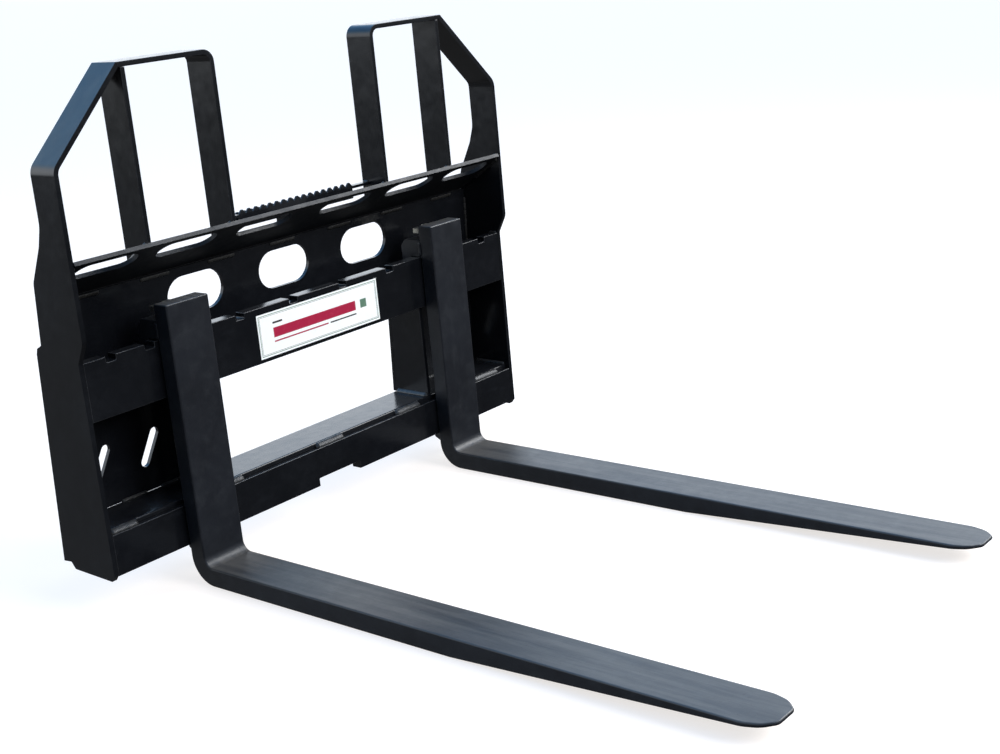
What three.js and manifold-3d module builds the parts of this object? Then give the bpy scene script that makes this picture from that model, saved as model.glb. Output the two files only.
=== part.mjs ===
// Skid-steer pallet fork attachment: a welded guard frame with a coupler hook, and two forks
// that slide sideways on its bars, each locked by a cam-lever latch pin.
// Millimetres. X runs across the frame, the forks point to -Y, Z is up.
// Profiles are written with y = 0 on the front face of the fork bars and z = 0 under the heels;
// the group at the end moves the whole part so that its origin is the centre of its footprint.
import * as THREE from 'three';
import { mergeVertices } from 'three/addons/utils/BufferGeometryUtils.js';
import Module from 'manifold-3d';

const wasm = await Module();
wasm.setup();

// ---- driving dimensions ----
const GAP = 0.3; // clearance kept wherever two pieces touch
const HALF_WIDTH = 588; // centre line to the outer face of a side plate
const BAR_STOCK = 9.5; // side plates, guard bars, ribs and lower lip
const SHEET = 8; // coupler plates
const GUARD_FRONT = -22; // the guard's flat bars lie between these two y values
const GUARD_REAR = 46;
const BEND_Z = 829; // the side plates turn inwards here
const TOP_Z = 990; // top of the guard
const OUTER_POST_X = 414;
const INNER_POST_X = 212;

const FORK_BAR_DEPTH = 25;
const UPPER_BAR = { bottom: 372, top: 483 };
const LOWER_BAR = { bottom: 76, top: 156 };
const NOTCH = { width: 22, depth: 11, at: [70, 212, 362, 432, 519] };
const REMOVAL_NOTCH = { width: 120, height: 17, radius: 2 };

const FORK = { width: 100, thick: 38, length: 1219, top: 552, centre: 362 };
const FORK_BACK = -1; // back of the shank, clear of the label on the bar
const TAPER = { start: 612, rise: 31.5 }; // underside, measured from the shank
// Corners of the blunt tip: [in from the fork's side, back from its end, radius].
const TIP = [[0, 48, 60], [8, 20, 40], [28, 0, 14]];
const HOOK = { top: 520, rear: 54, lipFront: 27, lipBottom: 448 };
const FOOT_HOOK = { halfWidth: 25, rear: 36, under: 46, chamfer: 10, lipTop: 88 };

const FLANGE = { slope: 32, frontY: -22, frontZ: 667.6, reach: 172, endReach: 148, endX: 536 };
const FLANGE_HOLE = { length: 138, width: 52, centre: 40, at: [112, 308, 493] };
const REAR_PLANE = { y: 93, z: 525, lean: 2.8 };
const WINDOW = { length: 140, height: 78, pitch: 235.5 };
const RIB_X = 303;
const RIB_FRONT = 12; // between the bars; behind them it starts at their rear faces
const LIP = { top: 166, front: 12, edge: 4, bendY: 112, endY: 150, endZ: 134 };
const PIN_SLOT = { x: 482, length: 64, width: 32 };
const STAY_SLOT = { length: 80, width: 20, tilt: 28, z: 252, at: [390, 505] };

const STEP = {
  front: 27, depth: 40, halfLength: 157, top: 675, floor: 641, wall: 4,
  teeth: 17, toothHeight: 8, drop: 10, gussetX: 20,
};

const LATCH = { y: 13, travel: 12, headR: 9, stemR: 5, head: 15, camMin: 7, handle: 43 };
const CHEEK = { inner: 5.6, outer: 10.6 };
const ROLL_PIN = { radius: 2.5, bore: 2.8 };

const rad = THREE.MathUtils.degToRad;
const SIDE_INNER = HALF_WIDTH - BAR_STOCK;
const FRAME_END = SIDE_INNER - GAP; // ends of everything welded between the side plates
const CAM_MAX = LATCH.camMin + LATCH.travel;

// ---- outline and solid helpers ----
// Points are [u, v] or [u, v, radius]; a radius rounds that corner with an arc.
function outline(points, path = new THREE.Shape()) {
  const count = points.length;
  points.forEach(([u, v, radius = 0], i) => {
    const corner = new THREE.Vector2(u, v);
    const before = new THREE.Vector2(...points[(i + count - 1) % count].slice(0, 2)).sub(corner).normalize();
    const after = new THREE.Vector2(...points[(i + 1) % count].slice(0, 2)).sub(corner).normalize();
    if (radius === 0) {
      addPoint(path, corner, i);
      return;
    }
    const half = Math.acos(THREE.MathUtils.clamp(before.dot(after), -1, 1)) / 2;
    const middle = before.clone().add(after).normalize();
    const centre = corner.clone().addScaledVector(middle, radius / Math.sin(half));
    const start = corner.clone().addScaledVector(before, radius / Math.tan(half)).sub(centre);
    const end = corner.clone().addScaledVector(after, radius / Math.tan(half)).sub(centre);
    addPoint(path, start.clone().add(centre), i);
    path.absarc(centre.x, centre.y, radius, start.angle(), end.angle(), start.cross(end) < 0);
  });
  path.closePath();
  return path;
}

function addPoint(path, point, index) {
  if (index === 0) path.moveTo(point.x, point.y);
  else path.lineTo(point.x, point.y);
}

// A slot with round ends, centred on (u, v), its length turned by tilt degrees from u.
function slot(u, v, length, width, tilt = 0) {
  const half = (length - width) / 2;
  const along = new THREE.Vector2(Math.cos(rad(tilt)), Math.sin(rad(tilt))).multiplyScalar(half);
  const turn = rad(tilt);
  const path = new THREE.Path();
  path.absarc(u + along.x, v + along.y, width / 2, turn - Math.PI / 2, turn + Math.PI / 2, false);
  path.absarc(u - along.x, v - along.y, width / 2, turn + Math.PI / 2, turn + Math.PI * 1.5, false);
  path.closePath();
  return path;
}

function extrude(shape, depth, holes, curveSegments) {
  shape.holes.push(...holes);
  return new THREE.ExtrudeGeometry(shape, { depth, bevelEnabled: false, curveSegments });
}

// Profile [y, z], from x0 to x1.
function slabX(points, x0, x1, holes = [], segments = 4) {
  const axes = new THREE.Matrix4().makeBasis(
    new THREE.Vector3(0, 1, 0), new THREE.Vector3(0, 0, 1), new THREE.Vector3(1, 0, 0));
  return extrude(outline(points), x1 - x0, holes, segments).applyMatrix4(axes).translate(x0, 0, 0);
}

// Profile [x, z], from y0 to y1.
function slabY(points, y0, y1, holes = [], segments = 4) {
  const axes = new THREE.Matrix4().makeBasis(
    new THREE.Vector3(1, 0, 0), new THREE.Vector3(0, 0, 1), new THREE.Vector3(0, -1, 0));
  return extrude(outline(points), y1 - y0, holes, segments).applyMatrix4(axes).translate(0, y1, 0);
}

// Profile [x, y], from z0 to z1.
function slabZ(points, z0, z1, holes = [], segments = 4) {
  return extrude(outline(points), z1 - z0, holes, segments).translate(0, 0, z0);
}

function box(x0, x1, y0, y1, z0, z1) {
  return new THREE.BoxGeometry(x1 - x0, y1 - y0, z1 - z0)
    .translate((x0 + x1) / 2, (y0 + y1) / 2, (z0 + z1) / 2);
}

function cylinderZ(radius, x, y, z0, z1, sides = 24) {
  return new THREE.CylinderGeometry(radius, radius, z1 - z0, sides)
    .rotateX(Math.PI / 2)
    .translate(x, y, (z0 + z1) / 2);
}

function cylinderY(radius, x, z, y0, y1, sides = 16) {
  return new THREE.CylinderGeometry(radius, radius, y1 - y0, sides).translate(x, (y0 + y1) / 2, z);
}

function solid(geometry) {
  const bare = geometry.clone();
  bare.deleteAttribute('normal');
  bare.deleteAttribute('uv');
  const merged = mergeVertices(bare, 1e-4);
  return new wasm.Manifold(new wasm.Mesh({
    numProp: 3,
    vertProperties: new Float32Array(merged.attributes.position.array),
    triVerts: new Uint32Array(merged.index.array),
  }));
}

function geometryOf(manifold) {
  const mesh = manifold.getMesh();
  const geometry = new THREE.BufferGeometry();
  geometry.setAttribute('position', new THREE.BufferAttribute(mesh.vertProperties, 3));
  geometry.setIndex(new THREE.BufferAttribute(mesh.triVerts, 1));
  geometry.computeVertexNormals();
  return geometry;
}

function joined(...geometries) {
  return geometryOf(geometries.map(solid).reduce((whole, piece) => whole.add(piece)));
}

function cut(geometry, ...tools) {
  return geometryOf(tools.map(solid).reduce((whole, tool) => whole.subtract(tool), solid(geometry)));
}

function common(first, second) {
  return geometryOf(solid(first).intersect(solid(second)));
}

// ---- materials ----
const paint = (color, roughness) => ({ color, roughness, metalness: 0.15 });
const BLACK_PAINT = paint(0x15171b, 0.28);
const FORK_PAINT = paint(0x2a2e35, 0.42);
const STEEL = { color: 0x9a9da1, roughness: 0.35, metalness: 1 };
const ZINC = { color: 0xb9b4a4, roughness: 0.3, metalness: 1 };
const LABEL = { color: 0xf2f2f0, roughness: 0.5, metalness: 0 };

function piece(name, geometry, finish) {
  const mesh = new THREE.Mesh(geometry, new THREE.MeshStandardMaterial(finish));
  mesh.name = name;
  return mesh;
}

// Mirrored left-right pairs share one builder: side is -1 for left and +1 for right.
const SIDES = [['left', -1], ['right', 1]];
const acrossX = (side, a, b) => (side < 0 ? [-b, -a] : [a, b]);
const mirrored = (side, points) => (side < 0 ? points.map(([x, z, r]) => [-x, z, r]).reverse() : points);

// ---- guard frame ----
// Height of the flange's top face below which the guard posts are trimmed.
function flangeTopAt(y) {
  return FLANGE.frontZ - (y - FLANGE.frontY) * Math.tan(rad(FLANGE.slope));
}

function belowFlange() {
  const floor = 500;
  const lift = GAP / Math.cos(rad(FLANGE.slope));
  const rear = GUARD_REAR + 20;
  const front = GUARD_FRONT - 20;
  return slabX([[front, floor], [rear, floor], [rear, flangeTopAt(rear) + lift],
    [front, flangeTopAt(front) + lift]], -HALF_WIDTH, HALF_WIDTH);
}

function sidePlate(name, side) {
  const plate = slabX([
    [0, 78], [0, 484, 12], [GUARD_FRONT, 523, 24], [GUARD_FRONT, BEND_Z - 40],
    [GUARD_REAR, BEND_Z - 40], [GUARD_REAR, 729, 60], [59, 691, 40], [95, 624, 30], [106, 508, 3],
    [120, 501, 3], [124, 490, 4], [154, 81], [131, 83, 3], [121, 70, 6], [9, 67, 4],
  ], ...acrossX(side, SIDE_INNER, HALF_WIDTH), [], 3);
  const run = TOP_Z - BEND_Z;
  const mitre = BAR_STOCK * Math.tan(rad(22.5));
  const corner = HALF_WIDTH - run + GAP / 2;
  const diagonal = slabY(mirrored(side, [
    [HALF_WIDTH, BEND_Z - 60], [HALF_WIDTH, BEND_Z, 30], [corner, TOP_Z - GAP / 2],
    [corner - mitre, TOP_Z - BAR_STOCK - GAP / 2], [SIDE_INNER, BEND_Z - mitre, 30 - BAR_STOCK],
    [SIDE_INNER, BEND_Z - 60],
  ]), GUARD_FRONT, GUARD_REAR, [], 3);
  return piece(name, joined(plate, diagonal), BLACK_PAINT);
}

function guardHoop(name, side) {
  const corner = HALF_WIDTH - (TOP_Z - BEND_Z) - GAP / 2;
  const mitre = BAR_STOCK * Math.tan(rad(22.5));
  const near = INNER_POST_X - BAR_STOCK / 2;
  const far = INNER_POST_X + BAR_STOCK / 2;
  const bend = 24;
  const bar = slabY(mirrored(side, [
    [corner, TOP_Z], [corner - mitre, TOP_Z - BAR_STOCK], [far, TOP_Z - BAR_STOCK, bend - BAR_STOCK],
    [far, 600], [near, 600], [near, TOP_Z, bend],
  ]), GUARD_FRONT, GUARD_REAR);
  return piece(name, cut(bar, belowFlange()), BLACK_PAINT);
}

function guardPost(name, side) {
  const [x0, x1] = acrossX(side, OUTER_POST_X - BAR_STOCK / 2, OUTER_POST_X + BAR_STOCK / 2);
  const bar = box(x0, x1, GUARD_FRONT, GUARD_REAR, 600, TOP_Z - BAR_STOCK - GAP);
  return piece(name, cut(bar, belowFlange()), BLACK_PAINT);
}

// ---- coupler side of the frame ----
// The flange lies in a frame of its own: local y runs down its slope, local z is its normal.
function topHookFlange() {
  const plate = slabZ([
    [-FRAME_END, 0], [FRAME_END, 0], [FRAME_END, FLANGE.endReach], [FLANGE.endX, FLANGE.endReach],
    [FLANGE.endX, FLANGE.reach, 6], [-FLANGE.endX, FLANGE.reach, 6],
    [-FLANGE.endX, FLANGE.endReach], [-FRAME_END, FLANGE.endReach],
  ], -SHEET, 0, FLANGE_HOLE.at.flatMap((x) => [-x, x])
    .map((x) => slot(x, FLANGE_HOLE.centre, FLANGE_HOLE.length, FLANGE_HOLE.width)), 6);
  const mesh = piece('top_hook_flange', plate, BLACK_PAINT);
  mesh.position.set(0, FLANGE.frontY, FLANGE.frontZ);
  mesh.rotation.x = -rad(FLANGE.slope);
  return mesh;
}

// Plates of the rear plane are drawn upright about its reference line, then leaned together.
const REAR_TOP = 57.5; // the flange's underside, above the reference line
const REAR_SPLIT = -134; // joint between the upper plate and the two lower plates
const REAR_BOTTOM = LIP.top - 0.65 - REAR_PLANE.z; // just clear of the lip, over its bend

function upperBackPlate() {
  const windows = [-1, 0, 1].map((i) => slot(i * WINDOW.pitch, 0.7, WINDOW.length, WINDOW.height));
  return piece('upper_back_plate', slabY([
    [-FRAME_END, REAR_SPLIT], [FRAME_END, REAR_SPLIT], [FRAME_END, REAR_TOP], [-FRAME_END, REAR_TOP],
  ], 0, SHEET, windows, 7), BLACK_PAINT);
}

function lowerBackPlate(name, side) {
  const inner = RIB_X;
  const top = REAR_SPLIT - GAP;
  const slots = STAY_SLOT.at.map((x) => slot(side * x, STAY_SLOT.z - REAR_PLANE.z,
    STAY_SLOT.length, STAY_SLOT.width, 90 + side * STAY_SLOT.tilt));
  return piece(name, slabY(mirrored(side, [
    [inner, REAR_BOTTOM], [FRAME_END, REAR_BOTTOM], [FRAME_END, top], [inner, top],
  ]), 0, SHEET, slots, 5), BLACK_PAINT);
}

function rearPlates() {
  const group = new THREE.Group();
  group.position.set(0, REAR_PLANE.y, REAR_PLANE.z);
  group.rotation.x = rad(REAR_PLANE.lean);
  group.add(upperBackPlate());
  for (const [word, side] of SIDES) group.add(lowerBackPlate(`${word}_back_plate`, side));
  return group;
}

// A rib stands on the lip, backs the upper bar and carries the rear plates; its top is set back
// so that the fork's hook can pass.
function rib(name, side) {
  const rearAt = (z) => REAR_PLANE.y - GAP - (z - REAR_PLANE.z) * Math.tan(rad(REAR_PLANE.lean));
  const foot = LIP.top + GAP;
  const top = 455;
  const behindBar = FORK_BAR_DEPTH + GAP;
  const underBar = UPPER_BAR.bottom - GAP;
  const hookClear = HOOK.rear + 6;
  return piece(name, slabX([
    [RIB_FRONT, foot], [rearAt(foot), foot], [rearAt(top), top], [hookClear, top, 6],
    [hookClear, HOOK.lipBottom - 10, 10], [behindBar, HOOK.lipBottom - 10],
    [behindBar, underBar], [RIB_FRONT, underBar],
  ], ...acrossX(side, RIB_X, RIB_X + BAR_STOCK)), BLACK_PAINT);
}

function lowerLip() {
  const slope = Math.atan2(LIP.top - LIP.endZ, LIP.endY - LIP.bendY);
  const normal = [Math.sin(slope) * BAR_STOCK, Math.cos(slope) * BAR_STOCK];
  const shift = BAR_STOCK * Math.tan(slope / 2);
  const plate = slabX([
    [LIP.front, LIP.top - BAR_STOCK + GAP], [LIP.bendY - shift, LIP.top - BAR_STOCK + GAP, 6],
    [LIP.endY - normal[0], LIP.endZ - normal[1]], [LIP.endY, LIP.endZ],
    [LIP.bendY, LIP.top, 6 + BAR_STOCK], [LIP.front, LIP.top, LIP.edge],
  ], -FRAME_END, FRAME_END);
  const middleY = (LIP.bendY + LIP.endY) / 2 + 1;
  const slots = [-1, 1].map((side) => slabZ([
    [side * PIN_SLOT.x - PIN_SLOT.length / 2, middleY - PIN_SLOT.width / 2, 7],
    [side * PIN_SLOT.x + PIN_SLOT.length / 2, middleY - PIN_SLOT.width / 2, 7],
    [side * PIN_SLOT.x + PIN_SLOT.length / 2, middleY + PIN_SLOT.width / 2 - 6, 7],
    [side * PIN_SLOT.x - PIN_SLOT.length / 2, middleY + PIN_SLOT.width / 2 - 6, 7],
  ], LIP.endZ - 40, LIP.top + 20));
  return piece('lower_lip', cut(plate, ...slots), BLACK_PAINT);
}

// ---- fork bars ----
function upperForkBar() {
  const points = [[-FRAME_END, UPPER_BAR.bottom], [FRAME_END, UPPER_BAR.bottom], [FRAME_END, UPPER_BAR.top]];
  const centres = NOTCH.at.flatMap((x) => [-x, x]).sort((a, b) => b - a);
  for (const x of centres) {
    const half = NOTCH.width / 2;
    const floor = UPPER_BAR.top - NOTCH.depth;
    points.push([x + half, UPPER_BAR.top], [x + half, floor, 3]);
    points.push([x - half, floor, 3], [x - half, UPPER_BAR.top]);
  }
  points.push([-FRAME_END, UPPER_BAR.top]);
  return piece('upper_fork_bar', slabY(points, 0, FORK_BAR_DEPTH, [], 2), BLACK_PAINT);
}

function lowerForkBar() {
  const half = REMOVAL_NOTCH.width / 2;
  const roof = LOWER_BAR.bottom + REMOVAL_NOTCH.height;
  return piece('lower_fork_bar', slabY([
    [-FRAME_END, LOWER_BAR.bottom], [-half, LOWER_BAR.bottom],
    [-half, roof, REMOVAL_NOTCH.radius], [half, roof, REMOVAL_NOTCH.radius],
    [half, LOWER_BAR.bottom], [FRAME_END, LOWER_BAR.bottom], [FRAME_END, LOWER_BAR.top],
    [-FRAME_END, LOWER_BAR.top],
  ], 0, FORK_BAR_DEPTH, [], 2), BLACK_PAINT);
}

function nameLabel() {
  return piece('name_label', slabY([
    [-173, 380], [167, 380], [167, 469], [-173, 469],
  ], FORK_BACK + 0.35, -0.35), LABEL);
}

// ---- serrated step between the inner posts ----
// A channel whose two walls are toothed along the top; the rear wall stands lower.
function toothedWall(y, top, foot) {
  const pitch = (2 * STEP.halfLength) / STEP.teeth;
  const flat = pitch / 8;
  const points = [[-STEP.halfLength, foot], [STEP.halfLength, foot]];
  for (let i = 0; i < STEP.teeth; i += 1) {
    const x = STEP.halfLength - i * pitch;
    points.push([x, top - STEP.toothHeight]);
    points.push([x - pitch / 2 + flat, top], [x - pitch / 2 - flat, top]);
  }
  points.push([-STEP.halfLength, top - STEP.toothHeight]);
  return slabY(points, y, y + STEP.wall);
}

function serratedStep() {
  const { front, depth, wall, top, drop, floor, halfLength } = STEP;
  const rear = front + depth - wall;
  return piece('serrated_step', joined(
    toothedWall(front, top, floor),
    toothedWall(rear, top - drop, floor),
    box(-halfLength, halfLength, front + 1, rear + 1, floor, floor + wall),
  ), BLACK_PAINT);
}

// Flat tabs tie the step's ends to the inner posts.
function stepTab(name, side) {
  const span = acrossX(side, STEP.halfLength + GAP, INNER_POST_X - BAR_STOCK / 2 - GAP);
  const top = STEP.top - STEP.toothHeight;
  return piece(name, box(...span, STEP.front, GUARD_REAR - 2, top - 6, top), BLACK_PAINT);
}

function stepGusset(name, side) {
  const front = STEP.front + 2;
  const rear = STEP.front + STEP.depth;
  const roof = STEP.floor - GAP;
  const lift = GAP / Math.cos(rad(FLANGE.slope));
  return piece(name, slabX([
    [front, flangeTopAt(front) + lift], [rear, flangeTopAt(rear) + lift], [rear, roof], [front, roof],
  ], ...acrossX(side, STEP.gussetX, STEP.gussetX + SHEET)), BLACK_PAINT);
}

// ---- forks ----
const SHANK_FRONT = FORK_BACK - FORK.thick;
const TIP_Y = SHANK_FRONT - FORK.length;

function forkArm(name, x) {
  const side = slabX([
    [FORK_BACK, FORK.top], [SHANK_FRONT, FORK.top], [SHANK_FRONT, FORK.thick, 20],
    [TIP_Y, FORK.thick], [TIP_Y, TAPER.rise], [SHANK_FRONT - TAPER.start, 0], [FORK_BACK, 0, 55],
  ], x - FORK.width / 2, x + FORK.width / 2, [], 6);
  const half = FORK.width / 2;
  const tip = (hand) => TIP.map(
    ([inset, back, radius]) => [x + hand * (half - inset), TIP_Y + back, radius]);
  const plan = slabZ([[x - half, 1], ...tip(-1), ...tip(1).reverse(), [x + half, 1]], -1, FORK.top + 1);
  return piece(name, common(side, plan), FORK_PAINT);
}

// Hooks over the upper bar; bored from below for the latch pin and its spring.
const PIN_BORE = LATCH.headR + 0.5;
const BORE_ROOF = HOOK.top - 8;

function topHook(name, x) {
  const front = FORK_BACK + GAP;
  const half = FORK.width / 2;
  const hook = slabX([
    [front, UPPER_BAR.top + 1], [HOOK.lipFront, UPPER_BAR.top + 1], [HOOK.lipFront, HOOK.lipBottom],
    [HOOK.rear, HOOK.lipBottom], [HOOK.rear, HOOK.top - 14], [HOOK.rear - 12, HOOK.top], [front, HOOK.top],
  ], x - half, x + half);
  return piece(name, cut(hook,
    cylinderZ(PIN_BORE, x, LATCH.y, UPPER_BAR.top - 5, BORE_ROOF),
    cylinderZ(LATCH.stemR + 0.4, x, LATCH.y, BORE_ROOF - 1, HOOK.top + 5)), FORK_PAINT);
}

function bottomHook(name, x) {
  const { halfWidth, rear, under, chamfer, lipTop } = FOOT_HOOK;
  const front = FORK_BACK + GAP;
  const seat = LOWER_BAR.bottom - 1;
  return piece(name, slabX([
    [front, seat], [front, under + 12 - chamfer], [rear - chamfer * 2, under], [rear, under + chamfer],
    [rear, lipTop], [HOOK.lipFront, lipTop], [HOOK.lipFront, seat],
  ], x - halfWidth, x + halfWidth), FORK_PAINT);
}

// ---- latch: drawn with the pin raised, clear of the bar, and the lever lying to -X ----
const PIN_BOTTOM = UPPER_BAR.top + 2;
const PIVOT_Z = HOOK.top + GAP + CAM_MAX;

function latchPin(name, x) {
  const pin = joined(
    cylinderZ(LATCH.headR, x, LATCH.y, PIN_BOTTOM, PIN_BOTTOM + LATCH.head),
    cylinderZ(LATCH.stemR, x, LATCH.y, PIN_BOTTOM + LATCH.head - 1, PIVOT_Z + LATCH.camMin - 0.5));
  return piece(name, cut(pin, cylinderY(ROLL_PIN.bore, x, PIVOT_Z, LATCH.y - 8, LATCH.y + 8)), STEEL);
}

function rollPin(name, x) {
  return piece(name, cylinderY(ROLL_PIN.radius, x, PIVOT_Z, LATCH.y - CHEEK.outer - 0.5,
    LATCH.y + CHEEK.outer + 0.5), STEEL);
}

// The cam's reach towards the hook falls in step with the lever's angle, so the pin drops by
// the same amount for every degree: its outline is the involute with that support distance.
function camOutline() {
  const slope = -LATCH.travel / Math.PI;
  const steps = 18;
  const points = [[-12, LATCH.camMin], [-12, -CAM_MAX]];
  for (let i = 0; i <= steps; i += 1) {
    const turn = (Math.PI * i) / steps;
    const reach = CAM_MAX + slope * turn;
    points.push([
      reach * Math.sin(turn) + slope * Math.cos(turn),
      -reach * Math.cos(turn) + slope * Math.sin(turn),
    ]);
  }
  return points;
}

function latchLever(name, x) {
  const place = camOutline().map(([u, v]) => [x + u, PIVOT_Z + v]);
  const bore = [slot(x, PIVOT_Z, 2 * ROLL_PIN.bore + 0.01, 2 * ROLL_PIN.bore)];
  const cheeks = [-1, 1].map((side) => {
    const [y0, y1] = side < 0 ? [-CHEEK.outer, -CHEEK.inner] : [CHEEK.inner, CHEEK.outer];
    return slabY(place, LATCH.y + y0, LATCH.y + y1, bore);
  });
  const handle = slabZ([
    [x - LATCH.handle, LATCH.y - CHEEK.outer, 5], [x - 9, LATCH.y - CHEEK.outer],
    [x - 9, LATCH.y + CHEEK.outer], [x - LATCH.handle, LATCH.y + CHEEK.outer, 5],
  ], PIVOT_Z - 5, PIVOT_Z + 5);
  return piece(name, joined(...cheeks, handle), ZINC);
}

class Helix extends THREE.Curve {
  constructor(radius, turns, x, y, z0, z1) {
    super();
    Object.assign(this, { radius, turns, x, y, z0, z1 });
  }

  getPoint(t) {
    const turn = 2 * Math.PI * this.turns * t;
    return new THREE.Vector3(this.x + this.radius * Math.cos(turn), this.y + this.radius * Math.sin(turn),
      THREE.MathUtils.lerp(this.z0, this.z1, t));
  }
}

function latchSpring(name, x) {
  const wire = 0.9;
  const turns = 3;
  const from = PIN_BOTTOM + LATCH.head + GAP + wire;
  const path = new Helix(7.2, turns, x, LATCH.y, from, BORE_ROOF - GAP - wire);
  const section = new THREE.Shape().absarc(0, 0, wire, 0, 2 * Math.PI, false);
  return piece(name, new THREE.ExtrudeGeometry(section, {
    steps: turns * 14, extrudePath: path, curveSegments: 3,
  }), STEEL);
}

function fork(word, side) {
  const x = side * FORK.centre;
  return [
    forkArm(`${word}_fork_arm`, x),
    topHook(`${word}_top_hook`, x),
    bottomHook(`${word}_bottom_hook`, x),
    latchPin(`${word}_latch_pin`, x),
    rollPin(`${word}_roll_pin`, x),
    latchLever(`${word}_latch_lever`, x),
    latchSpring(`${word}_latch_spring`, x),
  ];
}

// ---- assembly ----
const model = new THREE.Group();
for (const [word, side] of SIDES) {
  model.add(sidePlate(`${word}_side_plate`, side));
  model.add(guardHoop(`${word}_guard_hoop`, side));
  model.add(guardPost(`${word}_guard_post`, side));
  model.add(rib(`${word}_rib`, side));
  model.add(stepTab(`${word}_step_tab`, side));
  model.add(stepGusset(`${word}_step_gusset`, side));
  model.add(...fork(word, side));
}
model.add(topHookFlange(), rearPlates(), lowerLip(), upperForkBar(), lowerForkBar());
model.add(serratedStep(), nameLabel());

const REARMOST = 154; // lower rear corner of the side plates
model.position.y = -(TIP_Y + REARMOST) / 2;

const part = new THREE.Group();
part.add(model);
export default part;
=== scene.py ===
"""Looks of the pallet fork attachment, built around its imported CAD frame."""

import math
import random

import bpy
from mathutils import Matrix, Vector, noise


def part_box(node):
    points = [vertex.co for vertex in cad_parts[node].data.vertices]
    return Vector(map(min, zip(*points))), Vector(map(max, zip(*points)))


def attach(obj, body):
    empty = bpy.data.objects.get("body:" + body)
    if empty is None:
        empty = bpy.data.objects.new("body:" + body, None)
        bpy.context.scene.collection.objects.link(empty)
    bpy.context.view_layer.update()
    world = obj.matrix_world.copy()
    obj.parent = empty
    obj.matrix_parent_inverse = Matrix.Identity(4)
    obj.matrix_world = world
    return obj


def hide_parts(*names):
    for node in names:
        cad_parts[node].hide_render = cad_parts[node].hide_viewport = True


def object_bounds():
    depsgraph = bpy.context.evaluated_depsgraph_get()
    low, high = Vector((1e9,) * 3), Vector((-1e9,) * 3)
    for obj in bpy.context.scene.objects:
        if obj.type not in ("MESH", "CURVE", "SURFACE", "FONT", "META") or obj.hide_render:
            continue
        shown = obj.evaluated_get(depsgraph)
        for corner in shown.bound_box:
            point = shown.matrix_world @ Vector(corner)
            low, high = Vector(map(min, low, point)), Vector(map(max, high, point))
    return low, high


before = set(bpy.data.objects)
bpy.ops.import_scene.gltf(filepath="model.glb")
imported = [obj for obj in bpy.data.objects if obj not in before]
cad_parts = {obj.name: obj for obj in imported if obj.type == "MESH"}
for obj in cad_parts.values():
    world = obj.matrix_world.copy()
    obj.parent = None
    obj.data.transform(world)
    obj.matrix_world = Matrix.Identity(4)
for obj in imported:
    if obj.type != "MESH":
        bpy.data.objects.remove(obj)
cad_low, cad_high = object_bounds()
scene = bpy.context.scene

MM = 0.001
SIDES = (("left", -1), ("right", 1))
X, Y, Z = Vector((1, 0, 0)), Vector((0, 1, 0)), Vector((0, 0, 1))


# ---- camera ----
CAMERA_AT = Vector((-2.0883, -1.7072, 1.1445))
AZIMUTH, ELEVATION, ROLL = (math.radians(a) for a in (-49.335, 16.088, -5.231))
LENS, SENSOR = 55.12, 36.0


def make_camera():
    data = bpy.data.cameras.new("camera")
    data.lens, data.sensor_width, data.sensor_fit = LENS, SENSOR, "HORIZONTAL"
    data.clip_start, data.clip_end = 0.05, 300
    back = Vector((math.sin(AZIMUTH) * math.cos(ELEVATION),
                   -math.cos(AZIMUTH) * math.cos(ELEVATION), math.sin(ELEVATION)))
    across = Vector((math.cos(AZIMUTH), math.sin(AZIMUTH), 0))
    upright = back.cross(across)
    right = across * math.cos(ROLL) + upright * math.sin(ROLL)
    up = upright * math.cos(ROLL) - across * math.sin(ROLL)
    turn = Matrix((right, up, back)).transposed()
    camera = bpy.data.objects.new("camera", data)
    camera.matrix_world = Matrix.Translation(CAMERA_AT) @ turn.to_4x4()
    scene.collection.objects.link(camera)
    scene.camera = camera


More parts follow.
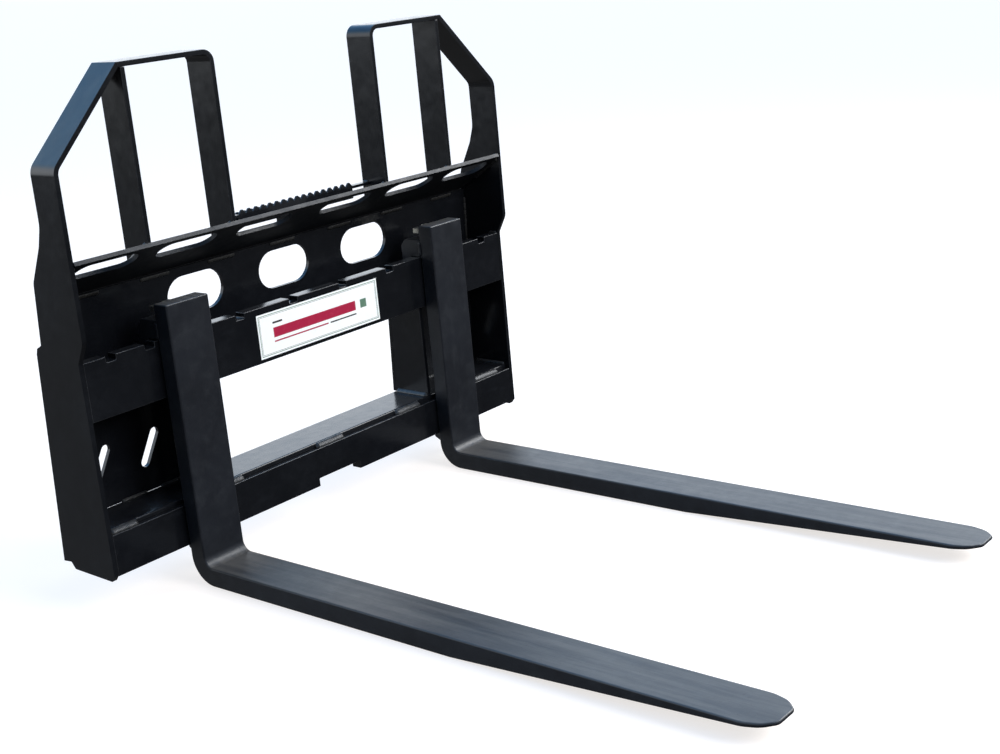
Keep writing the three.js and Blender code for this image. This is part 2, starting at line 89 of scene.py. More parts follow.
# ---- node helper ----
class Graph:
    """Builds shader nodes; a socket takes a number, a colour or another node's output."""

    def __init__(self, tree):
        self.tree = tree
        tree.nodes.clear()

    def add(self, kind, inputs=None, **settings):
        made = self.tree.nodes.new(kind)
        for key, value in settings.items():
            setattr(made, key, value)
        for key, value in (inputs or {}).items():
            socket = made.inputs[key]
            if isinstance(value, bpy.types.NodeSocket):
                self.tree.links.new(value, socket)
            else:
                socket.default_value = value
        return made

    def noise(self, vector, scale, detail=3.0, roughness=0.55, distortion=0.0):
        return self.add("ShaderNodeTexNoise", {
            "Vector": vector, "Scale": scale, "Detail": detail,
            "Roughness": roughness, "Distortion": distortion}).outputs["Fac"]

    def span(self, value, low, high, to_low, to_high, smooth=True):
        return self.add("ShaderNodeMapRange", {
            "Value": value, "From Min": low, "From Max": high, "To Min": to_low, "To Max": to_high},
            interpolation_type="SMOOTHSTEP" if smooth else "LINEAR").outputs["Result"]

    def maths(self, operation, a, b):
        return self.add("ShaderNodeMath", {0: a, 1: b}, operation=operation).outputs[0]

    def mix(self, share, a, b):
        made = self.add("ShaderNodeMix", data_type="RGBA")
        for index, value in ((0, share), (6, a), (7, b)):
            if isinstance(value, bpy.types.NodeSocket):
                self.tree.links.new(value, made.inputs[index])
            else:
                made.inputs[index].default_value = value
        return made.outputs[2]

    def stretched(self, vector, scale):
        return self.add("ShaderNodeMapping", {"Vector": vector, "Scale": scale}).outputs["Vector"]

    def upward(self, low, high, most):
        """Rises from 0 to most as the surface's normal turns up from a height of low to high."""
        normal = self.add("ShaderNodeTexCoord").outputs["Normal"]
        height = self.add("ShaderNodeSeparateXYZ", {0: normal}).outputs["Z"]
        return self.span(height, low, high, 0, most)

    def bump(self, height, strength, distance, normal=None):
        inputs = {"Height": height, "Strength": strength, "Distance": distance}
        if normal is not None:
            inputs["Normal"] = normal
        return self.add("ShaderNodeBump", inputs).outputs["Normal"]


def rgb(r, g, b):
    return (r, g, b, 1.0)


def new_graph(name):
    material = bpy.data.materials.new(name)
    material.use_nodes = True
    return material, Graph(material.node_tree)


def finish_material(graph, **inputs):
    shader = graph.add("ShaderNodeBsdfPrincipled",
                       {key.replace("_", " "): value for key, value in inputs.items()})
    graph.add("ShaderNodeOutputMaterial", {"Surface": shader.outputs[0]})


# ---- materials ----
DUST, BARE_STEEL = rgb(0.19, 0.195, 0.20), rgb(0.12, 0.118, 0.115)
FORGED_DARK, FORGED_LIGHT = rgb(0.0062, 0.0070, 0.0095), rgb(0.0110, 0.0125, 0.0165)
FORGED_MOTTLE, FORGED_STREAK = rgb(0.022, 0.024, 0.028), rgb(0.035, 0.037, 0.041)
# the middle colour here is for scuffs and also a painted sheen on the forks' upward faces
PIT, SCUFF_AND_SHEEN, BARE_FORGING = rgb(0.004, 0.004, 0.005), rgb(0.150, 0.136, 0.116), rgb(0.14, 0.137, 0.135)
CHIP_COVER = 0.6  # how strongly a chip or pit takes its own colour


def painted(name, dark, light, gloss, streak, peel, chips, dust):
    """Sprayed enamel on rolled plate.

    dark and light are the two tones it drifts between, gloss the (low, high) roughness,
    streak the grain's fineness along X, Y and Z, peel the (scale, strength) of the orange peel,
    chips the share of bare spots and dust the strength of the film on upward faces.
    """
    material, g = new_graph(name)
    at = g.add("ShaderNodeTexCoord").outputs["Object"]
    drift = g.noise(at, 7, 4)
    mottle = g.noise(at, 55, 6, 0.65)
    grain = g.noise(g.stretched(at, streak), 1, 5, 0.7)
    blend = g.maths("MULTIPLY", g.span(drift, 0.3, 0.7, 0, 1), g.span(mottle, 0.25, 0.75, 0.35, 1))
    colour = g.mix(blend, dark, light)
    faint = rgb(*(min(1.0, 1.9 * c) for c in light[:3]))
    colour = g.mix(g.span(grain, 0.56, 0.8, 0, 0.5), colour, faint)

    settled = g.maths("MULTIPLY", g.upward(0.45, 0.95, dust),
                      g.span(g.noise(at, 24, 5, 0.6), 0.35, 0.7, 0.25, 1))
    colour = g.mix(settled, colour, DUST)

    worn = g.noise(at, 240, 5, 0.6, 0.4)
    bare = g.span(worn, 0.84 - chips, 0.88 - chips, 0, 1)
    colour = g.mix(g.maths("MULTIPLY", bare, CHIP_COVER), colour, BARE_STEEL)

    low, high = gloss
    rough = g.span(mottle, 0.3, 0.75, low, high, smooth=False)
    rough = g.maths("ADD", rough, g.maths("MULTIPLY", settled, 0.9))
    rough = g.maths("ADD", rough, g.maths("MULTIPLY", bare, 0.12))
    scale, strength = peel
    normal = g.bump(g.noise(at, 11, 2), 0.30, 0.004)
    normal = g.bump(g.noise(at, scale, 3, 0.6), strength, 0.0006, normal)
    normal = g.bump(grain, strength * 0.8, 0.0005, normal)
    normal = g.bump(bare, 0.35, -0.00025, normal)
    finish_material(g, Base_Color=colour, Roughness=rough, Normal=normal, Specular_IOR_Level=0.5)
    return material


def forged_paint(name, chips, rub):
    """Thin satin paint over forge scale: pitted, and streaked along the fork.

    chips is the share of bare spots and rub the strength of the scuffs and painted sheen on upward faces.
    """
    material, g = new_graph(name)
    at = g.add("ShaderNodeTexCoord").outputs["Object"]
    drift = g.noise(at, 5, 4, 0.6)
    mottle = g.noise(at, 38, 6, 0.7)
    draw = g.noise(g.stretched(at, (150, 5, 5)), 1, 5, 0.75)
    scale = g.noise(at, 170, 5, 0.7, 0.3)
    colour = g.mix(g.span(drift, 0.3, 0.7, 0, 1), FORGED_DARK, FORGED_LIGHT)
    colour = g.mix(g.span(mottle, 0.45, 0.75, 0, 0.45), colour, FORGED_MOTTLE)
    colour = g.mix(g.span(draw, 0.55, 0.85, 0, 0.35), colour, FORGED_STREAK)
    pits = g.span(scale, 0.30, 0.38, 1, 0)
    colour = g.mix(g.maths("MULTIPLY", pits, CHIP_COVER), colour, PIT)
    bare = g.span(g.noise(at, 190, 5, 0.65, 0.5), 0.84 - chips, 0.89 - chips, 0, 1)
    colour = g.mix(g.maths("MULTIPLY", bare, CHIP_COVER), colour, BARE_FORGING)
    # upward faces lighten in streaks: partly scuffs, partly a painted sheen where light falls on the tops
    scuff_and_sheen = g.maths("MULTIPLY", g.upward(0.35, 0.95, rub),
                     g.span(g.noise(g.stretched(at, (60, 4, 9)), 1, 6, 0.7), 0.3, 0.7, 0.3, 1))
    colour = g.mix(scuff_and_sheen, colour, SCUFF_AND_SHEEN)
    rough = g.span(mottle, 0.25, 0.75, 0.33, 0.48, smooth=False)
    rough = g.maths("ADD", rough, g.maths("MULTIPLY", pits, 0.15))
    normal = g.bump(g.noise(at, 14, 3), 0.18, 0.003)
    normal = g.bump(scale, 0.20, 0.0006, normal)
    normal = g.bump(draw, 0.10, 0.0004, normal)
    finish_material(g, Base_Color=colour, Roughness=rough, Normal=normal, Specular_IOR_Level=0.5)
    return material


def metal(name, tone, shade, gloss, stretch, relief):
    """Bare or plated steel.

    tone and shade are its two colours, gloss the (low, high) roughness, stretch the fineness
    of the machining marks along X, Y and Z, and relief their strength.
    """
    material, g = new_graph(name)
    at = g.add("ShaderNodeTexCoord").outputs["Object"]
    marks = g.noise(g.stretched(at, stretch), 1, 4, 0.7)
    cloud = g.noise(at, 90, 5, 0.6)
    colour = g.mix(g.span(cloud, 0.35, 0.7, 0, 1), tone, shade)
    low, high = gloss
    rough = g.span(marks, 0.3, 0.7, low, high, smooth=False)
    normal = g.bump(marks, relief, 0.0003)
    finish_material(g, Base_Color=colour, Metallic=1.0, Roughness=rough, Normal=normal)
    return material


def printed(name, ink, worn_ink, gloss):
    """Printed film: ink, rubbed in places to worn_ink; gloss is its least roughness."""
    material, g = new_graph(name)
    at = g.add("ShaderNodeTexCoord").outputs["Object"]
    rub = g.noise(at, 60, 6, 0.7)
    fine = g.noise(at, 900, 2)
    colour = g.mix(g.span(rub, 0.5, 0.8, 0, 0.8), ink, worn_ink)
    rough = g.span(rub, 0.3, 0.7, gloss, gloss + 0.12, smooth=False)
    finish_material(g, Base_Color=colour, Roughness=rough, Normal=g.bump(fine, 0.05, 0.0002))
    return material


BLACK, BLACK_LIGHT = rgb(0.0035, 0.0040, 0.0054), rgb(0.0075, 0.0083, 0.0104)
ROLLED = (10, 45, 45)  # grain drawn out along X
PLATE = painted("black_enamel", BLACK, BLACK_LIGHT, (0.15, 0.26), ROLLED, (520, 0.06), 0.0, 0.03)
FLANGE = painted("black_enamel_flange", BLACK, BLACK_LIGHT, (0.44, 0.60), ROLLED, (520, 0.06), 0.0, 0.03)
PLATE_EDGE = painted("black_enamel_edge", rgb(0.012, 0.0125, 0.014), rgb(0.026, 0.027, 0.030),
                     (0.20, 0.32), ROLLED, (520, 0.10), 0.14, 0.05)
BEAD = painted("black_enamel_weld", rgb(0.014, 0.0138, 0.0136), rgb(0.032, 0.0315, 0.031),
               (0.22, 0.34), (60, 60, 60), (380, 0.18), 0.10, 0.10)
# the last number sets the scuffs and painted sheen on upward faces
FORK = forged_paint("fork_paint", 0.0, 0.42)
FORK_EDGE = forged_paint("fork_paint_edge", 0.16, 0.42)
HOOK = forged_paint("hook_paint", 0.0, 0.06)
PIN = metal("pin_steel", rgb(0.42, 0.42, 0.43), rgb(0.30, 0.30, 0.31), (0.25, 0.42), (200, 200, 900), 0.2)
ZINC = metal("zinc_plate", rgb(0.60, 0.58, 0.50), rgb(0.48, 0.47, 0.44), (0.24, 0.40), (260, 260, 60), 0.15)
FILM = printed("label_film", rgb(0.90, 0.92, 0.91), rgb(0.82, 0.84, 0.82), 0.32)
CRIMSON = printed("label_crimson", rgb(0.36, 0.014, 0.05), rgb(0.46, 0.07, 0.11), 0.30)
INK = printed("label_ink", rgb(0.030, 0.025, 0.026), rgb(0.09, 0.08, 0.08), 0.30)
GREEN = printed("label_green", rgb(0.10, 0.19, 0.13), rgb(0.18, 0.27, 0.20), 0.30)


# ---- CAD nodes: rounded arrises, weighted normals and a finish ----
def dress(node, face, edge, width, segments=2, angle=28):
    """Rounds the node's sharp edges by width millimetres; the rounded faces take the edge finish."""
    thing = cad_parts[node]
    slots = thing.data.materials
    if not slots:
        slots.append(face)
    for index in range(len(slots)):
        slots[index] = face
    slots.append(edge)
    thing.data.shade_smooth()
    weld = thing.modifiers.new("weld", "WELD")
    weld.merge_threshold = 2e-6
    flat = thing.modifiers.new("flat", "DECIMATE")
    flat.decimate_type = "DISSOLVE"
    flat.angle_limit = math.radians(0.6)
    if width:
        bevel = thing.modifiers.new("arris", "BEVEL")
        bevel.limit_method = "ANGLE"
        bevel.angle_limit = math.radians(angle)
        bevel.width = width * MM
        bevel.segments = segments
        bevel.material = len(slots) - 1
    normals = thing.modifiers.new("normals", "WEIGHTED_NORMAL")
    normals.mode = "FACE_AREA"


def dress_frame():
    dress("top_hook_flange", FLANGE, PLATE_EDGE, 0.9)
    dress("upper_back_plate", PLATE, PLATE_EDGE, 0.9)
    dress("lower_lip", PLATE, PLATE_EDGE, 2.4, 3)
    for node in ("upper_fork_bar", "lower_fork_bar"):
        dress(node, PLATE, PLATE_EDGE, 1.3)
    dress("serrated_step", PLATE, PLATE_EDGE, 0.5, 1)
    for word, _ in SIDES:
        for stem in ("side_plate", "guard_hoop", "guard_post", "back_plate", "rib"):
            dress(f"{word}_{stem}", PLATE, PLATE_EDGE, 1.0)
        for stem in ("step_gusset", "step_tab"):
            dress(f"{word}_{stem}", PLATE, PLATE_EDGE, 0.7)


def dress_forks():
    for word, _ in SIDES:
        dress(f"{word}_fork_arm", FORK, FORK_EDGE, 3.2, 4, 32)
        for stem in ("top_hook", "bottom_hook"):
            dress(f"{word}_{stem}", HOOK, HOOK, 1.4)
        dress(f"{word}_latch_pin", PIN, PIN, 0.6)
        dress(f"{word}_roll_pin", PIN, PIN, 0.4)
        dress(f"{word}_latch_spring", PIN, PIN, 0)
        dress(f"{word}_latch_lever", ZINC, ZINC, 0.7)


# ---- meshes of the script's own ----
def mesh_piece(name, points, faces, finish, body):
    mesh = bpy.data.meshes.new(name)
    mesh.from_pydata(points, [], faces)
    mesh.materials.append(finish)
    mesh.shade_smooth()
    mesh.validate()
    thing = bpy.data.objects.new(name, mesh)
    scene.collection.objects.link(thing)
    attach(thing, body)
    return thing


def skin(base, rings, around):
    """Quads over that many bands between rings of points; base is the first ring's first point."""
    for i in range(rings):
        for j in range(around):
            k = (j + 1) % around
            one, two = base + i * around, base + (i + 1) * around
            yield one + j, one + k, two + k, two + j


def along_x(x0, x1, y, z):
    return Vector((x0, y, z)), Vector((x1, y, z))


def along_y(x, y0, y1, z):
    return Vector((x, y0, z)), Vector((x, y1, z))


def along_z(x, y, z0, z1):
    return Vector((x, y, z0)), Vector((x, y, z1))


# ---- weld beads ----
RIPPLE = 3.2 * MM  # length of one ripple along a bead
RINGS_PER_RIPPLE = 4
FEWEST_RINGS = 8
SECTION = 6  # steps across a bead's face
TOE_DEPTH = 0.5 * MM  # how far a bead's toes are sunk into the plates
CROWN, RIPPLE_HEIGHT, WANDER = 0.16, 0.035, 0.10  # shares of a bead's leg
RIPPLE_BOW = 0.9  # how far each ripple bows along the bead, in ripples
BLUNT_END, END_TAPER = 0.25, 1.2  # least share of the leg at an end, and a scale for the taper


def bead_ring(root, wall_a, wall_b, reach, s, wander):
    """A bead's section s along it: a point sunk in the corner, then its face from toe to toe."""
    yield root - (wall_a + wall_b) * TOE_DEPTH
    out = (wall_a + wall_b).normalized()
    for j in range(SECTION + 1):
        u = j / SECTION
        crown = math.sin(math.pi * u)
        phase = 2 * math.pi * (s / RIPPLE + RIPPLE_BOW * crown) + wander * 2
        height = CROWN * crown + RIPPLE_HEIGHT * math.sqrt(crown) * math.sin(phase)
        toe = (wall_b if u == 0 else wall_a if u == 1 else Vector()) * -TOE_DEPTH
        side = wall_a * ((1 - u) * reach) + wall_b * (u * reach)
        yield root + side + toe + out * (height * reach)


def bead_mesh(runs, seed):
    """Rippled fillet beads, one closed shell for each run.

    A run is (start, end, one wall's normal, the other wall's normal, leg).
    """
    points, faces = [], []
    for number, (start, end, wall_a, wall_b, leg) in enumerate(runs):
        a, b = wall_a.normalized(), wall_b.normalized()
        along = end - start
        length = along.length
        along.normalize()
        rings = max(FEWEST_RINGS, int(length / RIPPLE * RINGS_PER_RIPPLE))
        base = len(points)
        for i in range(rings + 1):
            s = length * i / rings
            end_gap = max(0.0, min(s, length - s))
            swell = min(1.0, math.sqrt(end_gap / (END_TAPER * leg)) + BLUNT_END)
            wander = noise.noise(Vector((s * 90, seed * 3.1 + number * 1.7, 0)))
            reach = leg * swell * (1 + WANDER * wander)
            points.extend(bead_ring(start + along * s, a, b, reach, s, wander))
        around = SECTION + 2
        shell = list(skin(base, rings, around))
        shell.append(tuple(base + j for j in reversed(range(around))))
        shell.append(tuple(base + rings * around + j for j in range(around)))
        inside_out = a.cross(b).dot(along) < 0
        faces.extend(tuple(reversed(face)) if inside_out else face for face in shell)
    return points, faces


def beads(name, runs, seed, body="frame", finish=BEAD):
    points, faces = bead_mesh(runs, seed)
    return mesh_piece(name, points, faces, finish, body)


BAR_STOCK = 9.5 * MM  # thickness of the guard's flat bars
FLANGE_TILT = math.radians(32)
FLANGE_THICK = 8 * MM
DOWNHILL = Vector((0, math.cos(FLANGE_TILT), -math.sin(FLANGE_TILT)))
FLANGE_UP = Vector((0, math.sin(FLANGE_TILT), math.cos(FLANGE_TILT)))
flange_low, flange_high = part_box("top_hook_flange")
FLANGE_EDGE = Vector((0, flange_low.y + FLANGE_THICK * math.sin(FLANGE_TILT), flange_high.z))

REAR_LEAN = math.radians(2.8)  # the rear plates lean forwards at the top by this
REAR_UP = Vector((0, -math.sin(REAR_LEAN), math.cos(REAR_LEAN)))
# From a rear plate's rearmost edge forward to its beads' roots, just in front of its face.
UPPER_FACE, LOWER_FACE = 8.3 * MM, 8.5 * MM


def down_flange(y):
    """How far down the flange's slope, from its front edge, the top face is at y."""
    return (y - FLANGE_EDGE.y) / math.cos(FLANGE_TILT)


def on_flange(x, y):
    """The point of the flange's top face above (x, y)."""
    return Vector((x, 0, 0)) + FLANGE_EDGE + DOWNHILL * down_flange(y)


def post_beads():
    """Fillets round the feet of the four guard posts."""
    runs = []
    for word, side in SIDES:
        for node in ("guard_post", "guard_hoop"):
            low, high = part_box(f"{word}_{node}")
            x0, x1 = low.x, high.x
            if node == "guard_hoop":  # its box also holds its top rail
                x0, x1 = (x1 - BAR_STOCK, x1) if side < 0 else (x0, x0 + BAR_STOCK)
            front, rear = low.y + 2 * MM, high.y - 1 * MM
            for x, out in ((x0, -X), (x1, X)):
                runs.append((on_flange(x, front), on_flange(x, rear), out, FLANGE_UP, 5.5 * MM))
            runs.append((on_flange(x0, high.y), on_flange(x1, high.y), DOWNHILL, Z, 5 * MM))
    return beads("post_foot_welds", runs, 1)


# How far the welds of the flange, the lip and the upper rear plate reach along a side plate.
FLANGE_RUN, LIP_RUN, REAR_RUN = 92 * MM, 88 * MM, 168 * MM


def side_plate_beads():
    """Fillets where the flange, bars, lip and upper rear plate end on the side plates."""
    runs = []
    bar_low, bar_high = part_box("upper_fork_bar")
    foot_low, foot_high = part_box("lower_fork_bar")
    lip_low, lip_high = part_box("lower_lip")
    rear_low, rear_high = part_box("upper_back_plate")
    for _, side in SIDES:
        x = side * bar_high.x
        inward = -side * X
        top = on_flange(x, FLANGE_EDGE.y + 4 * MM)
        under = top - FLANGE_UP * FLANGE_THICK
        runs.append((top, top + DOWNHILL * FLANGE_RUN, inward, FLANGE_UP, 5 * MM))
        runs.append((under + DOWNHILL * (4 * MM), under + DOWNHILL * (FLANGE_RUN - 2 * MM),
                     inward, -FLANGE_UP, 5 * MM))
        for low, high in ((bar_low, bar_high), (foot_low, foot_high)):
            runs.append((*along_z(x, high.y, low.z + 3 * MM, high.z - 3 * MM), inward, Y, 6 * MM))
        runs.append((*along_y(x, bar_low.y + 2 * MM, bar_high.y - 1 * MM, bar_high.z),
                     inward, Z, 4 * MM))
        runs.append((*along_y(x, lip_low.y + 2 * MM, lip_low.y + LIP_RUN, lip_high.z),
                     inward, Z, 5 * MM))
        start = Vector((x, rear_high.y - UPPER_FACE, rear_low.z + 4 * MM))
        runs.append((start, start + REAR_UP * REAR_RUN, inward, -Y, 3.5 * MM))
    return beads("side_plate_welds", runs, 2)


def rib_beads():
    """Fillets at the ribs' feet and where they stand against the back of the upper bar."""
    runs = []
    bar_low, bar_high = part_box("upper_fork_bar")
    _, lip_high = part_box("lower_lip")
    for word, _ in SIDES:
        low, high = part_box(f"{word}_rib")
        for x, out in ((low.x, -X), (high.x, X)):
            runs.append((*along_y(x, low.y + 1 * MM, high.y - 4 * MM, lip_high.z), out, Z, 8 * MM))
            runs.append((*along_z(x, bar_high.y, bar_low.z + 3 * MM, high.z - 22 * MM),
                         out, Y, 5 * MM))
    return beads("rib_welds", runs, 3)


def stitches(start, end, total, length, gap):
    """Splits a run, total long, into centred stitches of that length with that gap between."""
    along = (end - start).normalized()
    count = int((total + gap) / (length + gap))
    spare = (total - count * length - (count - 1) * gap) / 2
    for i in range(count):
        s = spare + i * (length + gap)
        yield start + along * s, start + along * (s + length)


# Where the stitches in front of the lip start and end, in millimetres from the centre line.
LIP_STITCHES = ((-577, -512), (-325, -250), (-52, 30), (190, 270), (455, 545))


def lip_beads():
    """Stitches that hold the lip on the lower bar, and the lower rear plates on the lip."""
    _, bar_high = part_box("lower_fork_bar")
    lip_low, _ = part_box("lower_lip")
    runs = [(*along_x(x0 * MM, x1 * MM, lip_low.y, bar_high.z), -Y, Z, 9.5 * MM)
            for x0, x1 in LIP_STITCHES]
    behind_bar = along_x(-bar_high.x, bar_high.x, bar_high.y, bar_high.z)
    runs += [(one, two, -Z, Y, 6 * MM)
             for one, two in stitches(*behind_bar, bar_high.x * 2, 60 * MM, 120 * MM)]
    for word, _ in SIDES:
        low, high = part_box(f"{word}_back_plate")
        foot = along_x(low.x + 3 * MM, high.x - 3 * MM, high.y - LOWER_FACE, low.z)
        runs += [(one, two, -Y, Z, 4.5 * MM)
                 for one, two in stitches(*foot, high.x - low.x - 6 * MM, 60 * MM, 35 * MM)]
    return beads("lip_welds", runs, 4)


def flange_beads():
    """Stitches under the flange along the top of the upper rear plate."""
    plate_low, plate_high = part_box("upper_back_plate")
    z = plate_high.z - 3.5 * MM
    y = plate_high.y - UPPER_FACE - (z - plate_low.z) * math.tan(REAR_LEAN)
    joint = along_x(-plate_high.x, plate_high.x, y, z)
    runs = [(one, two, -Z, -DOWNHILL, 5 * MM)
            for one, two in stitches(*joint, plate_high.x * 2, 70 * MM, 95 * MM)]
    return beads("flange_welds", runs, 5)


def step_beads():
    """Short fillets at the ends of the step's tabs and the feet of its gussets."""
    runs = []
    for word, side in SIDES:
        low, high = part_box(f"{word}_step_tab")
        outer, inner = (high.x, low.x) if side > 0 else (low.x, high.x)
        runs.append((*along_y(outer, low.y + 1 * MM, high.y - 1 * MM, high.z),
                     -side * X, Z, 3.5 * MM))
        runs.append((*along_y(inner, low.y + 4.5 * MM, high.y - 1 * MM, low.z),
                     side * X, -Z, 3 * MM))
        g_low, g_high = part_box(f"{word}_step_gusset")
        for x, out in ((g_low.x, -X), (g_high.x, X)):
            runs.append((on_flange(x, g_low.y + 1 * MM), on_flange(x, g_high.y - 1 * MM),
                         out, FLANGE_UP, 3.5 * MM))
    return beads("step_welds", runs, 6)


SUNK = 0.2 * MM  # how far a hook's side beads and the spatter sit below their surface
PIN_CLEAR = 24 * MM  # from a hook's middle to its top beads, either side of the latch pin
UNDER_LEVER = 2.6 * MM  # leg of the fillet that the lowered lever's handle passes over


def hook_beads():
    """Beads up the sides of the joints between shank and hooks, and along the top one."""
    above_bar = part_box("upper_fork_bar")[1].z + 2 * MM
    for number, (word, _) in enumerate(SIDES):
        runs = []
        for node in ("top_hook", "bottom_hook"):
            low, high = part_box(f"{word}_{node}")
            for x, out in ((low.x, -X), (high.x, X)):
                if node == "top_hook":
                    ends = along_z(x - out.x * SUNK, low.y, above_bar, high.z - 4 * MM)
                    runs.append((*ends, -Y + out * 0.35, Y + out * 0.35, 4.5 * MM))
                else:
                    ends = along_z(x, low.y, low.z + 4 * MM, low.z + 26 * MM)
                    runs.append((*ends, out, Y, 5 * MM))
            if node == "top_hook":
                centre = (low.x + high.x) / 2
                for x0, x1 in ((low.x + 3 * MM, centre - PIN_CLEAR),
                               (centre + PIN_CLEAR, high.x - 3 * MM)):
                    runs.append((*along_x(x0, x1, low.y, high.z), Y, Z, UNDER_LEVER))
        beads(f"{word}_hook_welds", runs, 7 + number, f"{word}_fork", FORK)


# ---- weld spatter ----
# The flange's holes: their places each side of the centre line, their size, and how far down
# the slope their middles are from the front edge.
HOLES_AT = (112 * MM, 308 * MM, 493 * MM)
HOLE_LENGTH, HOLE_WIDTH, HOLE_DOWN = 138 * MM, 52 * MM, 40 * MM
DROP_RINGS, DROP_SIDES = 3, 8


def spatter_spots(rng):
    """Places beside the feet of the posts and the ribs, each with its surface's normal."""
    lip_low, lip_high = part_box("lower_lip")
    spots = []
    for word, side in SIDES:
        for node in ("guard_post", "guard_hoop"):
            low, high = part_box(f"{word}_{node}")
            x = (low.x + high.x) / 2 if node == "guard_post" else (high.x if side < 0 else low.x)
            for _ in range(9):
                away = rng.choice((-1, 1)) * rng.uniform(12, 26) * MM
                y = rng.uniform(low.y + 30 * MM, high.y + 8 * MM)
                spots.append((on_flange(x + away, y), FLANGE_UP))
        low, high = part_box(f"{word}_rib")
        for _ in range(14):
            away = rng.choice((-1, 1)) * rng.uniform(13, 40) * MM
            y = rng.uniform(lip_low.y + 6 * MM, lip_low.y + 56 * MM)
            spots.append((Vector(((low.x + high.x) / 2 + away, y, lip_high.z)), Z))
    return spots


def over_hole(at):
    """Whether a spot on the flange lies over one of its holes or right beside it."""
    beside = any(abs(abs(at.x) - x) < HOLE_LENGTH / 2 + 8 * MM for x in HOLES_AT)
    return beside and abs(down_flange(at.y) - HOLE_DOWN) < HOLE_WIDTH / 2 + 3 * MM


def droplet(at, up, radius, base):
    """Points and faces of a closed dome; base is the number of its first point."""
    across = up.cross(X).normalized()
    points = []
    for i in range(DROP_RINGS):
        lift = math.pi / 2 * i / DROP_RINGS
        for j in range(DROP_SIDES):
            turn = 2 * math.pi * j / DROP_SIDES
            flat = (X * math.cos(turn) + across * math.sin(turn)) * (radius * math.cos(lift))
            points.append(at - up * SUNK + flat + up * (radius * 0.8 * math.sin(lift)))
    points.append(at + up * radius * 0.7)
    faces = [tuple(reversed(face)) for face in skin(base, DROP_RINGS - 1, DROP_SIDES)]
    tip = base + DROP_RINGS * DROP_SIDES
    top_ring = tip - DROP_SIDES
    faces += [(top_ring + (j + 1) % DROP_SIDES, top_ring + j, tip) for j in range(DROP_SIDES)]
    faces.append(tuple(base + j for j in range(DROP_SIDES)))
    return points, faces


def spatter():
    """Small droplets of weld metal stuck to the plates beside the beads."""
    rng = random.Random(4)
    points, faces = [], []
    for at, up in spatter_spots(rng):
        if up is FLANGE_UP and over_hole(at):
            continue
        radius = rng.uniform(0.7, 1.7) * MM
        more_points, more_faces = droplet(at, up, radius, len(points))
        points += more_points
        faces += more_faces
    return mesh_piece("weld_spatter", points, faces, BEAD, "frame")


# ---- label: film with a double border and plain bars ----
# Millimetres on the film: each line's finish, inset and width, then each bar's finish and its
# (left, right, bottom, top).
BORDERS = ((GREEN, 3.5, 1.4), (INK, 6.4, 0.7))
BARS = (
    (CRIMSON, (40, 272, 36, 56)), (CRIMSON, (40, 190, 26.5, 29.5)), (INK, (40, 66, 64, 68)),
    (INK, (196, 272, 26.5, 29.5)), (GREEN, (286, 304, 37, 55)),
)


def printed_areas(wide, tall):
    """Each printed area's finish and its (left, right, bottom, top) in metres."""
    areas = []
    for finish, inset, line in BORDERS:
        inset, line = inset * MM, line * MM
        right, top = wide - inset, tall - inset
        for area in ((inset, right, inset, inset + line), (inset, right, top - line, top),
                     (inset, inset + line, inset, top), (right - line, right, inset, top)):
            areas.append((finish, area))
    return areas + [(finish, tuple(v * MM for v in area)) for finish, area in BARS]


def label():
    """A thin slab cut along every printed edge, so that each face in front has one ink."""
    low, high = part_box("name_label")
    wide, tall = high.x - low.x, high.z - low.z
    areas = printed_areas(wide, tall)
    xs = sorted({0.0, wide} | {v for _, area in areas for v in area[:2]})
    zs = sorted({0.0, tall} | {v for _, area in areas for v in area[2:]})
    finishes = [FILM, GREEN, INK, CRIMSON]
    points = [Vector((low.x + x, y, low.z + z)) for y in (low.y, high.y) for z in zs for x in xs]
    columns, layer = len(xs), len(xs) * len(zs)
    faces, marks = [], []
    for r in range(len(zs) - 1):
        for c in range(columns - 1):
            x, z = (xs[c] + xs[c + 1]) / 2, (zs[r] + zs[r + 1]) / 2
            found = [finish for finish, (x0, x1, z0, z1) in areas if x0 < x < x1 and z0 < z < z1]
            one = r * columns + c
            corners = (one, one + 1, one + columns + 1, one + columns)
            faces.append(corners)
            marks.append(finishes.index(found[-1]) if found else 0)
            faces.append(tuple(layer + v for v in (corners[0], *corners[:0:-1])))
            marks.append(0)
    last_row = (len(zs) - 1) * columns
    rim = (list(range(columns)) + [r * columns + columns - 1 for r in range(1, len(zs))]
           + [last_row + c for c in range(columns - 2, -1, -1)]
           + [r * columns for r in range(len(zs) - 2, 0, -1)])
    for one, two in zip(rim, rim[1:] + rim[:1]):
        faces.append((two, one, one + layer, two + layer))
        marks.append(0)
    thing = mesh_piece("printed_label", points, faces, FILM, "frame")
    for finish in finishes[1:]:
        thing.data.materials.append(finish)
    thing.data.shade_flat()
    for polygon, mark in zip(thing.data.polygons, marks):
        polygon.material_index = mark
    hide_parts("name_label")


# ---- floor, sky and lamps ----
FLOOR_RADIUS, FLOOR_SIDES = 90.0, 48
FLOOR_GAP = 0.5 * MM  # the floor lies this far below the forks
FLOOR_GLOW = 0.73  # lifts the floor to the backdrop's white


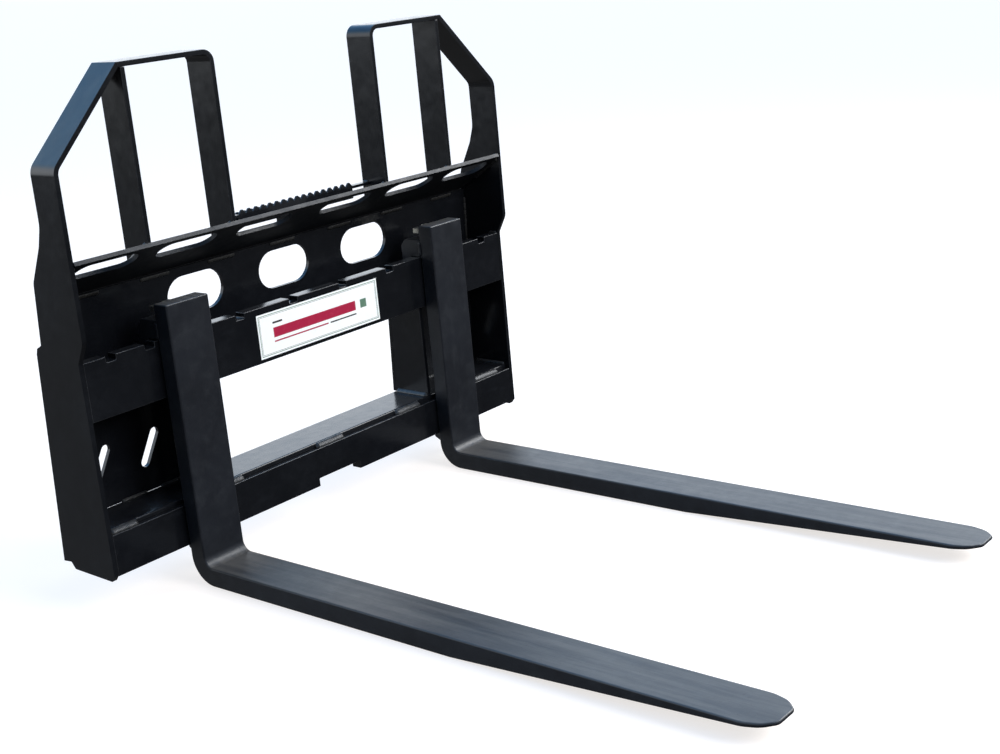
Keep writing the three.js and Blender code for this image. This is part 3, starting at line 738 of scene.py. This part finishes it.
def make_floor():
    material, g = new_graph("pale_floor")
    at = g.add("ShaderNodeTexCoord").outputs["Object"]
    tone = g.mix(g.noise(at, 3, 4), rgb(0.40, 0.36, 0.33), rgb(0.41, 0.37, 0.34))
    finish_material(g, Base_Color=tone, Roughness=1.0, Emission_Color=rgb(1.0, 0.965, 0.94),
                    Emission_Strength=FLOOR_GLOW)
    turns = [2 * math.pi * i / FLOOR_SIDES for i in range(FLOOR_SIDES)]
    points = [Vector((math.cos(turn), math.sin(turn), 0)) * FLOOR_RADIUS for turn in turns]
    mesh = bpy.data.meshes.new("floor")
    mesh.from_pydata(points, [], [tuple(range(FLOOR_SIDES))])
    mesh.materials.append(material)
    floor = bpy.data.objects.new("floor", mesh)
    floor.location.z = cad_low.z - FLOOR_GAP
    floor.visible_glossy = False
    floor.visible_diffuse = False
    scene.collection.objects.link(floor)


SKY_POWER = 1.8
FRONT_SKY = 0.30  # share of that power in front of the object
SKY_STOPS = ((0.46, rgb(0.098, 0.102, 0.106)), (0.51, rgb(0.80, 0.85, 0.90)),
             (0.60, rgb(1.0, 1.05, 1.12)), (0.68, rgb(0.88, 0.98, 1.10)),
             (0.76, rgb(0.38, 0.66, 0.98)), (0.82, rgb(0.16, 0.44, 0.88)))


def make_sky():
    """A pale sky, bluer overhead, over a dark surround; the backdrop itself is white."""
    world = bpy.data.worlds.new("sky")
    scene.world = world
    world.use_nodes = True
    g = Graph(world.node_tree)
    way = g.add("ShaderNodeSeparateXYZ", {0: g.add("ShaderNodeTexCoord").outputs["Generated"]})
    ramp = g.add("ShaderNodeValToRGB", {0: g.span(way.outputs["Z"], -1, 1, 0, 1, smooth=False)})
    stops = ramp.color_ramp.elements
    stops[0].position, stops[0].color = 0.0, rgb(0.05, 0.05, 0.052)
    stops[1].position, stops[1].color = 1.0, rgb(0.20, 0.46, 0.88)
    for position, colour in SKY_STOPS:
        stops.new(position).color = colour
    behind = g.span(way.outputs["Y"], -0.5, 0.5, FRONT_SKY, 1.0)
    lit = g.add("ShaderNodeBackground", {"Color": ramp.outputs["Color"],
                                         "Strength": g.maths("MULTIPLY", behind, SKY_POWER)})
    white = g.add("ShaderNodeBackground", {"Color": rgb(1, 1, 1), "Strength": 1.0})
    seen = g.add("ShaderNodeLightPath").outputs["Is Camera Ray"]
    both = g.add("ShaderNodeMixShader", {0: seen, 1: lit.outputs[0], 2: white.outputs[0]})
    g.add("ShaderNodeOutputWorld", {"Surface": both.outputs[0]})


def lamp(name, at, target, size, power, colour, mirrored=True):
    data = bpy.data.lights.new(name, "AREA")
    data.shape, data.size, data.energy, data.color = "DISK", size, power, colour
    thing = bpy.data.objects.new(name, data)
    thing.location = at
    thing.rotation_mode = "QUATERNION"
    thing.rotation_quaternion = (Vector(target) - Vector(at)).to_track_quat("-Z", "Y")
    thing.visible_glossy = mirrored
    scene.collection.objects.link(thing)


def make_light():
    make_sky()
    lamp("key", (0.8, -5.0, 3.6), (0, 0.3, 0.5), 3.0, 360, (1.0, 0.99, 0.97), mirrored=False)
    lamp("fill", (3.4, -1.0, 3.2), (0, 0.4, 0.1), 2.8, 170, (1.0, 1.0, 1.0))
    view = scene.view_settings
    view.view_transform, view.look, view.exposure, view.gamma = "Standard", "None", 0.0, 1.0


make_camera()
dress_frame()
dress_forks()
post_beads()
side_plate_beads()
rib_beads()
lip_beads()
flange_beads()
step_beads()
hook_beads()
spatter()
label()
make_floor()
make_light()
